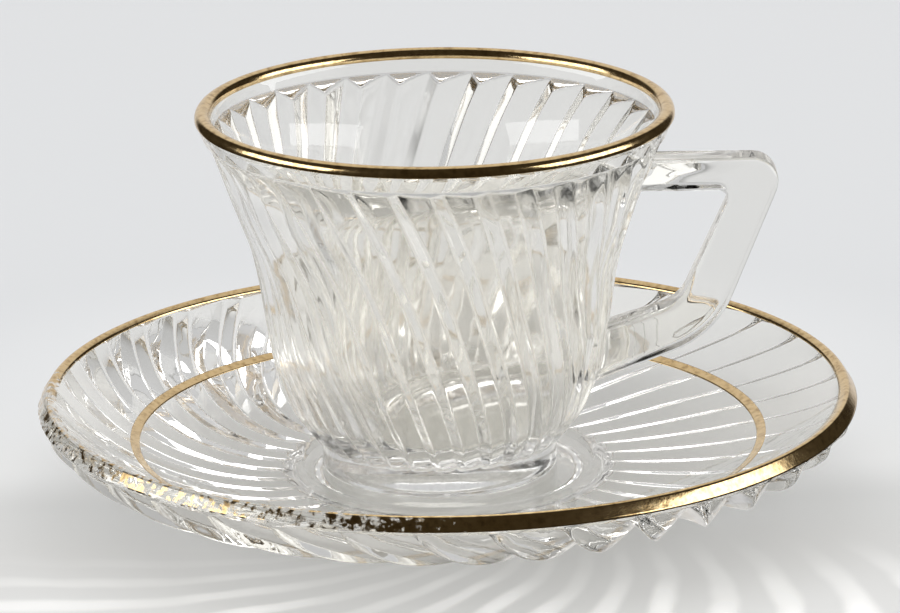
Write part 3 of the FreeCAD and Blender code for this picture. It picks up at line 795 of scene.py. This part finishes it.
def floor_material():
    """A pale floor, with painted shade before the saucer, and a painted glow and streaks that stand for the
    light the ribs gather.
    """
    material, nodes, links = new_material("pale_floor")

    def eased(source, low, high, to_low=0.0, to_high=1.0):
        return mapped(nodes, source, low, high, to_low, to_high, "SMOOTHSTEP")

    def times(first, second):
        return maths(nodes, "MULTIPLY", first, second)

    place = nodes.new("ShaderNodeTexCoord").outputs["Object"]
    axes = nodes.new("ShaderNodeSeparateXYZ")
    links.new(place, axes.inputs["Vector"])
    x, y = axes.outputs["X"], axes.outputs["Y"]
    radius = length_of(nodes, place)
    turns = maths(nodes, "LOGARITHM", maths(nodes, "DIVIDE", radius, STREAK_START), math.e)
    swept = maths(nodes, "ADD", maths(nodes, "ARCTAN2", y, x), times(turns, STREAK_SWEEP))
    blur = noise(nodes, place, 45.0, 2.0, 0.5)
    phase = maths(nodes, "ADD", times(swept, STREAK_COUNT), times(blur, STREAK_WANDER))
    streak = eased(maths(nodes, "SINE", phase), -0.4, 1.0)
    strength = eased(blur, 0.3, 0.7, 0.35, 1.0)
    reach = times(eased(y, *STREAK_DEPTHS), eased(radius, *STREAK_REACH))
    streaks = times(times(times(streak, strength), reach), STREAK_LIGHT)
    pool = times(eased(radius, *POOL_REACH, 0.0, POOL_LIGHT), eased(y, *POOL_DEPTHS, 0.45, 1.0))
    # painted shade: the floor's colour darkened before the saucer, standing for a soft shadow
    band = colour_ramp(nodes, eased(y, *PAINTED_SHADE_DEPTHS), FLOOR_PAINTED_SHADE, "EASE")
    shade = nodes.new("ShaderNodeMix")
    shade.data_type = "RGBA"
    shade.inputs[6].default_value = FLOOR_FAR
    links.new(eased(radius, *PAINTED_SHADE_REACH), shade.inputs["Factor"])
    links.new(band, shade.inputs[7])
    paint = set_inputs(nodes.new("ShaderNodeBsdfPrincipled"), Roughness=0.6,
                       Emission_Color=(1.0, 0.99, 0.965, 1.0))
    links.new(shade.outputs[2], paint.inputs["Base Color"])
    links.new(maths(nodes, "ADD", pool, streaks), paint.inputs["Emission Strength"])
    out = nodes.new("ShaderNodeOutputMaterial")
    links.new(paint.outputs["BSDF"], out.inputs["Surface"])
    return material


# --------------------------------------------------------------------------- stage

TENT_SHADES = [(0.0, (0.24, 0.232, 0.215)), (0.25, (0.34, 0.335, 0.32)), (0.55, (0.54, 0.545, 0.55)),
               (1.0, (0.63, 0.64, 0.66))]
TENT_FLANK = (1.15, 1.15, 1.13, 1.0)
FLANK_SIDEWAYS = 0.97
FLANK_EDGE = (0.8, 0.93)
BACKDROP_SHADES = [(0.0, (0.035, 0.028, 0.017)), (1.0, (0.72, 0.7, 0.68))]
BACKDROP_TOWARDS = (0.0, 0.94, 0.34)
BACKDROP_EDGE = (0.45, 0.62)
BACKDROP_SIDES = ((0.5, 0.34), (-0.5, -0.34))

# The camera: lens and distance in millimetres and metres, angles in degrees, aim in millimetres
CAMERA_LENS = 201.11
CAMERA_DISTANCE = 0.7
CAMERA_ELEVATION = 17.165
CAMERA_ROLL = -0.844
CAMERA_AIM = (0.532, 0.0, 26.882)


def make_floor():
    """A wide pale floor that reaches past every view's edge."""
    count = 96
    reach = 6000.0
    around = [TAU * i / count for i in range(count)]
    vertices = [(0.0, 0.0, 0.0)]
    vertices += [(reach * math.cos(angle), reach * math.sin(angle), 0.0) for angle in around]
    faces = [(0, 1 + i, 1 + (i + 1) % count) for i in range(count)]
    floor = mesh_piece("floor", vertices, faces)
    floor.location.z = -0.02 * MM
    floor.visible_glossy = False
    floor.data.materials.append(floor_material())
    return floor


def area_light(name, place, target, width, height, power, colour=(1.0, 1.0, 1.0)):
    """A rectangular soft light that faces a target."""
    data = bpy.data.lights.new(name, "AREA")
    data.shape = "RECTANGLE"
    data.size = width
    data.size_y = height
    data.energy = power
    data.color = colour
    light = bpy.data.objects.new(name, data)
    light.location = place
    light.rotation_euler = (Vector(target) - Vector(place)).to_track_quat("-Z", "Y").to_euler()
    bpy.context.scene.collection.objects.link(light)
    return light


def make_world():
    """A white tent for the glass; mirror-like gilding sees a dark room with a pale backdrop."""
    world = bpy.data.worlds.new("studio")
    world.use_nodes = True
    bpy.context.scene.world = world
    nodes, links = world.node_tree.nodes, world.node_tree.links
    nodes.clear()
    ray_way = nodes.new("ShaderNodeTexCoord").outputs["Generated"]
    crosswise = along(nodes, ray_way, (1.0, 0.0, 0.0))

    # the tent: pale, a little darker towards the front, with bright sides
    depth = mapped(nodes, along(nodes, ray_way, (0.0, 1.0, 0.0)), -1.0, 1.0)
    drape = colour_ramp(nodes, depth, TENT_SHADES, "EASE")
    sides = []
    for sideways in (FLANK_SIDEWAYS, -FLANK_SIDEWAYS):
        sides.append(mapped(nodes, along(nodes, ray_way, (sideways, -0.1, 0.22)), *FLANK_EDGE))
    tent = nodes.new("ShaderNodeMix")
    tent.data_type = "RGBA"
    tent.inputs[7].default_value = TENT_FLANK
    links.new(maths(nodes, "MAXIMUM", *sides), tent.inputs["Factor"])
    links.new(drape, tent.inputs[6])

    # the room: dark, with the lit backdrop behind the object
    behind = mapped(nodes, along(nodes, ray_way, BACKDROP_TOWARDS), *BACKDROP_EDGE)
    edges = [mapped(nodes, crosswise, end, start) for end, start in BACKDROP_SIDES]
    lit = maths(nodes, "MULTIPLY", maths(nodes, "MULTIPLY", *edges), behind)
    room = colour_ramp(nodes, lit, BACKDROP_SHADES, "EASE")

    # a ray that was last mirrored sees the room, any other ray the tent
    ray = nodes.new("ShaderNodeLightPath")
    mirrored = maths(nodes, "MULTIPLY", ray.outputs["Is Glossy Ray"], ray.outputs["Is Reflection Ray"])
    pick = nodes.new("ShaderNodeMix")
    pick.data_type = "RGBA"
    links.new(mirrored, pick.inputs["Factor"])
    links.new(tent.outputs[2], pick.inputs[6])
    links.new(room, pick.inputs[7])
    light = nodes.new("ShaderNodeBackground")
    links.new(pick.outputs[2], light.inputs["Color"])
    out = nodes.new("ShaderNodeOutputWorld")
    links.new(light.outputs["Background"], out.inputs["Surface"])


def make_camera():
    """The camera: a long lens, looking down a little over the rim."""
    data = bpy.data.cameras.new("camera")
    data.lens = CAMERA_LENS
    data.sensor_width = 36.0
    data.clip_start = 0.01
    camera = bpy.data.objects.new("camera", data)
    bpy.context.scene.collection.objects.link(camera)
    elevation = math.radians(CAMERA_ELEVATION)
    aim = Vector(CAMERA_AIM) * MM
    back = Vector((0.0, -math.cos(elevation), math.sin(elevation)))
    roll = Matrix.Rotation(math.radians(CAMERA_ROLL), 4, "Z")
    turn = (-back).to_track_quat("-Z", "Y").to_matrix().to_4x4()
    camera.matrix_world = Matrix.Translation(aim + back * CAMERA_DISTANCE) @ turn @ roll
    bpy.context.scene.camera = camera


def make_lights():
    """Two soft boxes low at the sides, and a wide light behind that only lights."""
    target = (0.0, 0.0, 0.03)
    left = area_light("left_box", (-0.78, -0.2, 0.27), target, 0.8, 0.5, 4.0)
    right = area_light("right_box", (0.78, -0.18, 0.27), target, 0.8, 0.5, 4.0)
    for box in (left, right):
        box.visible_transmission = False
    behind = area_light("behind", (0.0, 0.6, 0.75), target, 0.5, 0.3, 2.0)
    behind.visible_glossy = False


def set_look():
    scene = bpy.context.scene
    scene.view_settings.view_transform = "Standard"
    scene.cycles.max_bounces = 24
    scene.cycles.transmission_bounces = 24
    scene.cycles.glossy_bounces = 12
    scene.cycles.transparent_max_bounces = 32
    scene.cycles.caustics_reflective = False
    scene.cycles.caustics_refractive = False


# ---------------------------------------------------------------------------- build

def dress(piece, material, slot, *nodes):
    """Gives a piece its material, hangs it under the root body and hides the CAD nodes it stands for."""
    piece.data.materials.clear()
    piece.data.materials.append(material)
    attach(piece, "root")
    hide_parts(*nodes)


make_camera()
make_floor()
make_world()
make_lights()
set_look()

cup_body = make_cup_glass()
join_solids(cup_body, make_handle_glass())
glass = glass_material("clear_pressed_glass")
cup_glass = glass_material("clear_ribbed_glass", ribbed=True)
gilt = gilt_material("gilding")
worn_gilt = gilt_material("worn_gilding", SAUCER_WEAR)
dress(cup_body, cup_glass, "clear_glass", "cup_glass")
dress(make_saucer_glass(), glass, "clear_glass", "saucer_glass")
dress(make_cup_gilding(), gilt, "gilt", "cup_gilt_rim")
dress(make_saucer_gilding(), worn_gilt, "gilt", "saucer_gilt_rim")
dress(make_saucer_ring(), gilt, "gilt", "saucer_gilt_ring")
